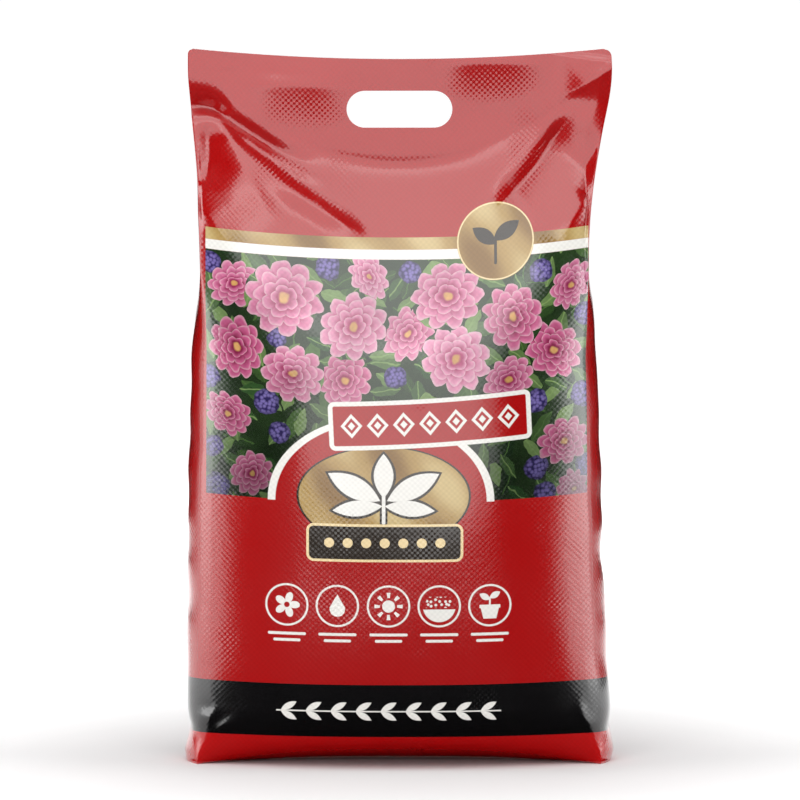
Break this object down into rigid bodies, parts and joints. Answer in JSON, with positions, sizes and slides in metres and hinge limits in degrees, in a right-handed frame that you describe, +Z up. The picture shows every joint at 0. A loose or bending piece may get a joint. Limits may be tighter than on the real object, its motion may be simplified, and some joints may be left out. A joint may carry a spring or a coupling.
{
  "type": "compost bag",
  "caption": "Filled side-gusseted compost sack standing on its base, with gathered shoulders and a hand hole through the flat sealed neck.",
  "frame": {"origin": "centre of the bounding box, on the floor under the base", "axes": "+Z up along the bag's height, -Y towards the printed front, +X to the right seen from the front"},
  "size_m": [0.3956, 0.196, 0.6612],
  "materials": {
    "printed_film": "glossy printed film laminated over woven tape, red with a black band near the base"
  },
  "bodies": {
    "root": {"compost_bag": "printed_film"}
  },
  "joints": []
}
